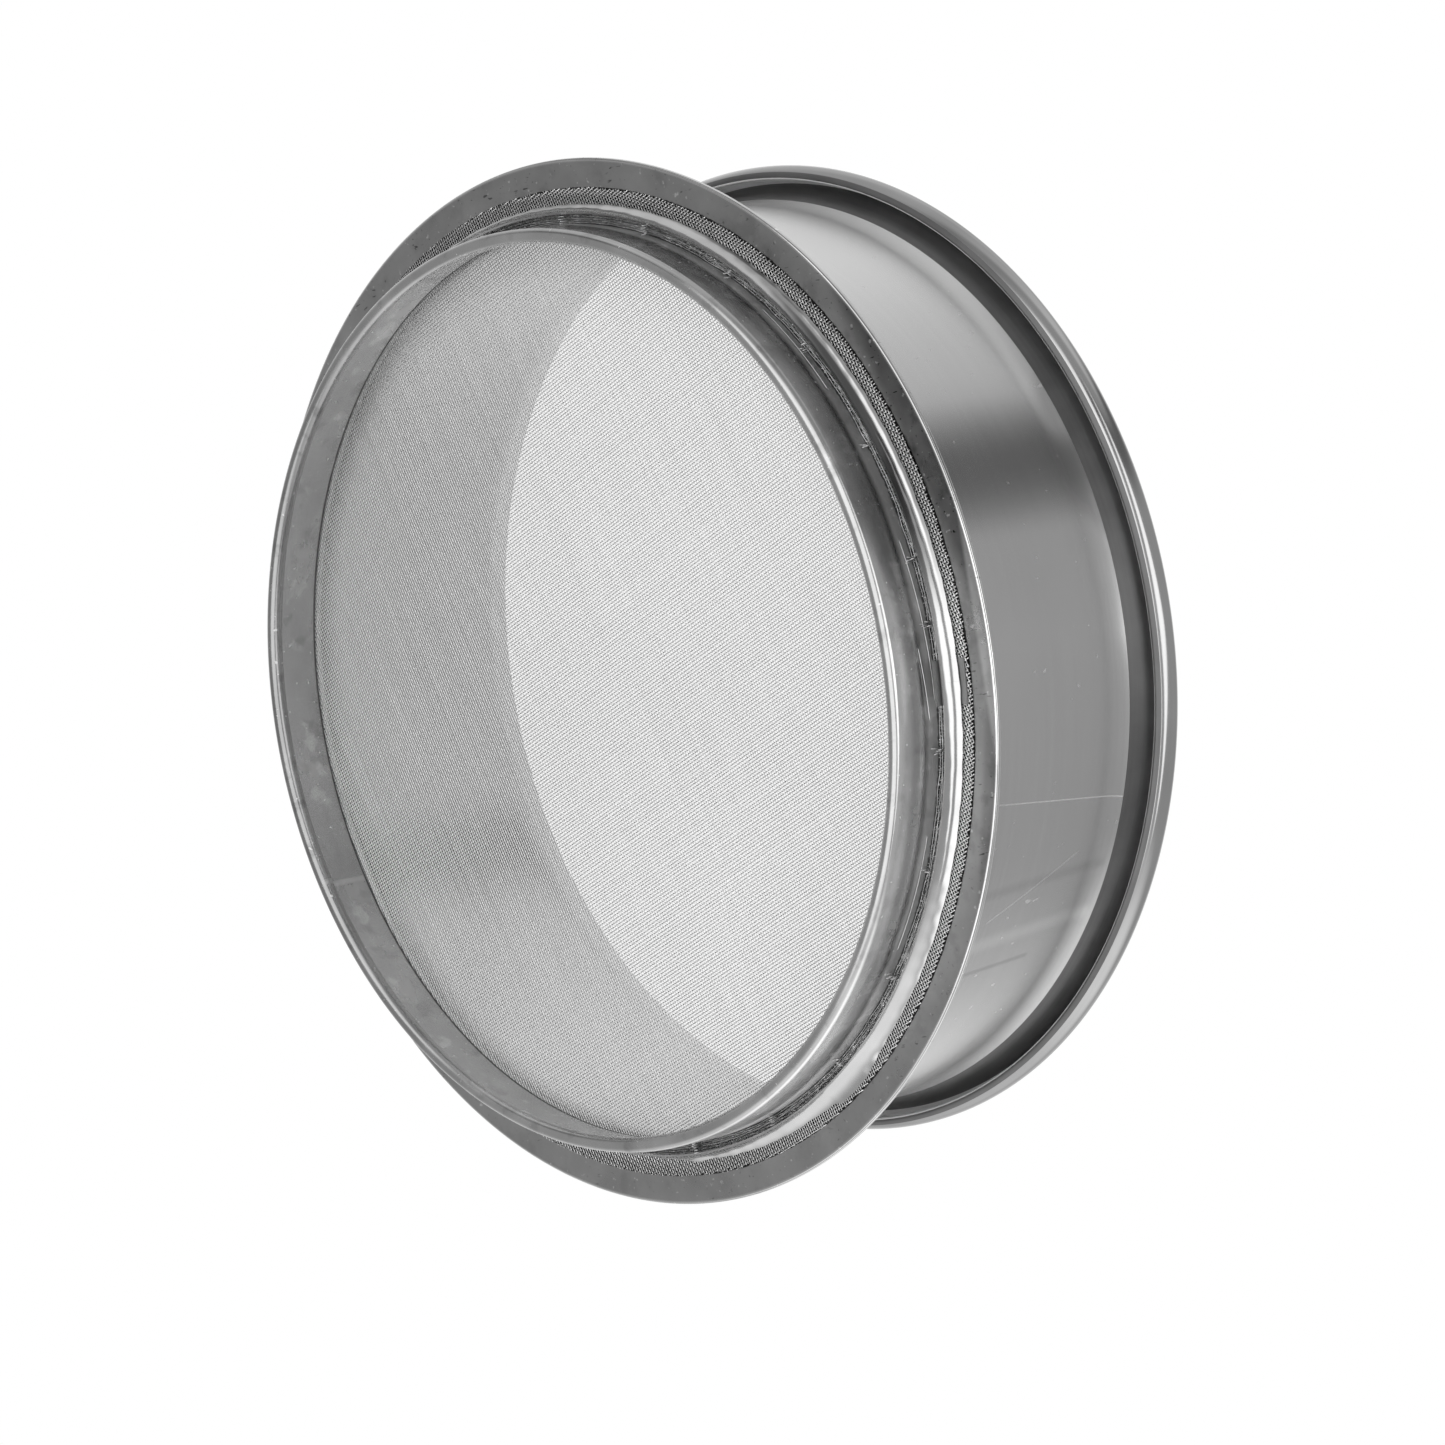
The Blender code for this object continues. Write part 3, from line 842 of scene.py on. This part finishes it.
def uneven_foot(angle, radius):
    """Shift outwards: uneven reach and two sine ripples, more towards the foot's edge, on a hoop set aside."""
    turn = angle - math.radians(VIEW_BEARING)
    bearing = (np.degrees(turn) + 180) % 360 - 180
    edge = np.interp(bearing, FOOT_BEARINGS, np.array(FOOT_REACHES) * FOOT_UNIT)
    start = cove_centre()[0] - COVE_RADIUS
    share = np.clip((radius - start) / (FOOT_RADIUS - start), 0, 1)
    ripple = sum(depth * np.sin(angle * waves + phase) for depth, waves, phase in FOOT_RIPPLES)
    aside = HOOP_ASIDE * (np.cos(turn) - 1) + HOOP_ASIDE * np.clip(np.cos(turn), 0, 1)
    return share * (edge + ripple) + aside


def make_clamp():
    """Clamp hoop, its ends met tight at the joint, and the strap behind that joint."""
    hoop = add_hoop("clamp_hoop", clamp_section(), [bright_clamp()],
                    start=JOINT_BEARING + JOINT_HALF, end=JOINT_BEARING + 360 - JOINT_HALF,
                    turns=CLAMP_TURNS, shift=uneven_foot)
    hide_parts("clamp_ring")
    splice = add_hoop("joint_strap", strap_section(), [satin_strap()],
                      start=JOINT_BEARING - STRAP_HALF, end=JOINT_BEARING + STRAP_HALF,
                      turns=STRAP_TURNS)
    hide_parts("clamp_splice")


def make_cloth():
    """Wire cloth: two crossing sets of thin rods at one pitch, each ending near the cloth's edge."""
    reach = int(CLOTH_RADIUS / WIRE_PITCH)
    count = 2 * reach + 1
    share = np.linspace(-1, 1, WIRE_STEPS)[None, :]
    for name, turn, level in (("warp_wires", 0.0, -WIRE_RADIUS), ("weft_wires", 90.0, WIRE_RADIUS)):
        across = (np.arange(-reach, reach + 1) + dice.normal(0, WIRE_WANDER, count)) * WIRE_PITCH
        limit = np.minimum(CLOTH_RADIUS + dice.normal(*WIRE_END, count), CLOTH_RADIUS)
        edge = np.sqrt(np.maximum(limit ** 2 - across ** 2, WIRE_PITCH ** 2))
        along = share * edge[:, None]
        side = np.broadcast_to(across[:, None], along.shape)
        spine = np.stack([along, side, np.full(along.shape, CLOTH_LEVEL + level)], axis=-1)
        angle = math.radians(WEAVE_TURN + turn)
        spin = np.array([[math.cos(angle), -math.sin(angle), 0],
                         [math.sin(angle), math.cos(angle), 0],
                         [0, 0, 1]])
        corners, faces = rods(spine @ spin.T, WIRE_RADIUS, (0, 0, 1))
        wire = drawn_wire(name, turn)
        piece = add_mesh(name, corners, faces, [wire], crease=WIRE_CREASE)
        if turn == 0:
            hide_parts("sieve_cloth")


def ring_wires(radius, angle, number):
    """Rings of one fold: at each level, height plus two sine waves round it, and a slight in-and-out."""
    first = FIRST_RING + number % 2 * RING_STAGGER
    start = STRIP_LOW + WIRE_PITCH * first + OUTER_LIFT * max(number - 2, 0)
    levels = np.arange(start, SKIRT_TOP - WIRE_RADIUS, WIRE_PITCH)[:, None]
    height = levels
    for depth, waves, phase in RING_WAVES:
        height = height + depth * np.sin(angle * waves + phase * number)
    depth, waves, climb = RING_RIPPLE
    reach = radius + depth * np.sin(angle * waves + levels * climb)
    return np.stack([reach * np.cos(angle), reach * np.sin(angle), height], axis=-1)


def upright_wires(radius, count):
    """Uprights of one fold: one at each pitch round the ring, leaning a little, with uneven lower ends."""
    wander = dice.uniform(-UPRIGHT_WANDER, UPRIGHT_WANDER, count)
    turn = (np.arange(count) + wander) * math.tau / count
    low = STRIP_LOW + UPRIGHT_GAP + np.abs(dice.normal(0, UPRIGHT_FRAY, count))
    low[::LONG_UPRIGHT] = PACKING_LOW + WIRE_RADIUS
    share = np.linspace(0, 1, UPRIGHT_STEPS)[None, :]
    bearing = turn[:, None] + dice.normal(0, UPRIGHT_LEAN, count)[:, None] * (1 - share)
    height = low[:, None] + share * (SKIRT_TOP - WIRE_RADIUS - low[:, None])
    return np.stack([radius * np.cos(bearing), radius * np.sin(bearing), height], axis=-1)


def loose_wire(start, low, end, high):
    """Loose strand along the skirt: bearing and height go evenly from one end to the other."""
    share = np.linspace(0, 1, LOOSE_STEPS)
    turn = np.radians(VIEW_BEARING + start + share * (end - start))
    height = low + share * (high - low)
    radius = WALL_RADIUS + LOOSE_GAP + LOOSE_LIFT * share
    return np.stack([radius * np.cos(turn), radius * np.sin(turn), height], axis=-1)


def make_packing():
    """Packing strip on edge: folds of rings and of uprights frayed below, and the loose wires beside it."""
    angle = np.radians(np.linspace(0, 360, 2 * TURNS))[None, :]
    radii = PACKING_RADIUS - PACKING_FOLDS
    rings = [ring_wires(radius, angle, number) for number, radius in enumerate(radii)]
    ring_corners, ring_sides = rods(np.concatenate(rings), PACKING_WIRE, (0, 0, 1))
    count = int(math.tau * PACKING_RADIUS / WIRE_PITCH)
    ends = [upright_wires(radius, count) for radius in radii]
    end_corners, end_sides = rods(np.concatenate(ends), PACKING_WIRE, UPRIGHT_BESIDE)
    corners = np.vstack([ring_corners, end_corners])
    faces = np.vstack([ring_sides, end_sides + len(ring_corners)])
    piece = add_mesh("packing_weave", corners, faces, [frayed_wire()], crease=WIRE_CREASE)
    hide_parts("packing_strip")
    spines = np.array([loose_wire(*both_ends) for both_ends in LOOSE_WIRES])
    corners, faces = rods(spines, LOOSE_WIRE, (0, 0, 1))
    add_mesh("stray_wires", corners, faces, [bright_strand()], crease=WIRE_CREASE)


def mix_out(tree, kind, share, first, second):
    """Output of a kind whose surface is the first shader, or the second by a share."""
    mix = node(tree, "MixShader")
    for socket, value in zip(mix.inputs, (share, first.outputs[0], second.outputs[0])):
        tree.links.new(value, socket)
    tree.links.new(mix.outputs[0], node(tree, kind).inputs["Surface"])


def panel(tree, right, up, back, low, high, front, bright, taper):
    """Soft panel between two reaches to the right, in front of the sieve, its right edge tapered."""
    tall = maths(tree, "ABSOLUTE", up)
    reach = blend(tree, right, (tall, taper))
    left_blur, right_blur, front_blur = PANEL_BLURS
    return times(tree, ease(tree, right, low, low + left_blur),
                 ease(tree, reach, high - right_blur, high, 1, 0),
                 ease(tree, back, front, front + front_blur), ease(tree, tall, *PANEL_ENDS), bright)


def make_world():
    """Studio round the sieve: white backdrop, two tall soft panels by the camera, plain grey elsewhere."""
    world = bpy.data.worlds.new("studio")
    bpy.context.scene.world = world
    world.use_nodes = True
    tree = world.node_tree
    tree.nodes.clear()
    look = node(tree, "TexCoord").outputs["Generated"]
    right, up, back = (dot(tree, look, axis) for axis in (CAMERA_RIGHT, CAMERA_UP, CAMERA_BACK))
    ceiling = times(tree, ease(tree, up, *CEILING), ease(tree, back, *CEILING_BEHIND))
    shade = times(tree, ease(tree, up, *SHADE_START), ease(tree, up, *SHADE_END),
                  ease(tree, back, *SHADE_IN_FRONT))
    lights = [ease(tree, back, *BACKDROP), ceiling, ease(tree, up, *TABLE)]
    lights += [panel(tree, right, up, back, *sizes) for sizes in (LEFT_PANEL, RIGHT_PANEL)]
    level = maths(tree, "SUBTRACT", ROOM_GREY, shade)
    for light in lights:
        level = maths(tree, "ADD", level, light)
    room = node(tree, "Background")
    tree.links.new(level, room.inputs["Color"])
    white = node(tree, "Background")
    white.inputs["Color"].default_value = (1, 1, 1, 1)
    mix_out(tree, "OutputWorld", node(tree, "LightPath").outputs["Is Camera Ray"], room, white)


def make_floor():
    """Pale floor under the sieve, seen from above only, with the sieve's shadow on it."""
    mesh = bpy.data.meshes.new("floor")
    corners = [(x * FLOOR_HALF, y * FLOOR_HALF, 0) for x, y in ((-1, -1), (1, -1), (1, 1), (-1, 1))]
    mesh.from_pydata(corners, [], [(0, 1, 2, 3)])
    floor = bpy.data.objects.new("floor", mesh)
    bpy.context.scene.collection.objects.link(floor)
    material = bpy.data.materials.new("pale_floor")
    material.use_nodes = True
    tree = material.node_tree
    tree.nodes.clear()
    seen = node(tree, "LightPath").outputs["Is Camera Ray"]
    front = maths(tree, "SUBTRACT", seen, node(tree, "NewGeometry").outputs["Backfacing"])
    pale = node(tree, "BsdfDiffuse")
    pale.inputs["Color"].default_value = (FLOOR_TONE, FLOOR_TONE, FLOOR_TONE, 1)
    mix_out(tree, "OutputMaterial", front, node(tree, "BsdfTransparent"), pale)
    mesh.materials.append(material)


def make_camera():
    """Camera at the photograph's viewing angle, below and to the side of the standing sieve."""
    camera = bpy.data.cameras.new("photo_view")
    camera.lens = CAMERA_LENS
    camera.sensor_width = SENSOR
    holder = bpy.data.objects.new("photo_view", camera)
    bpy.context.scene.collection.objects.link(holder)
    axes = Matrix((CAMERA_RIGHT, CAMERA_UP, CAMERA_BACK)).transposed().to_4x4()
    holder.matrix_world = Matrix.Translation(CAMERA_PLACE) @ axes
    bpy.context.scene.camera = holder
    bpy.context.scene.view_settings.view_transform = "Standard"


make_drum()
make_skirt()
make_clamp()
make_cloth()
make_packing()
make_world()
make_floor()
make_camera()
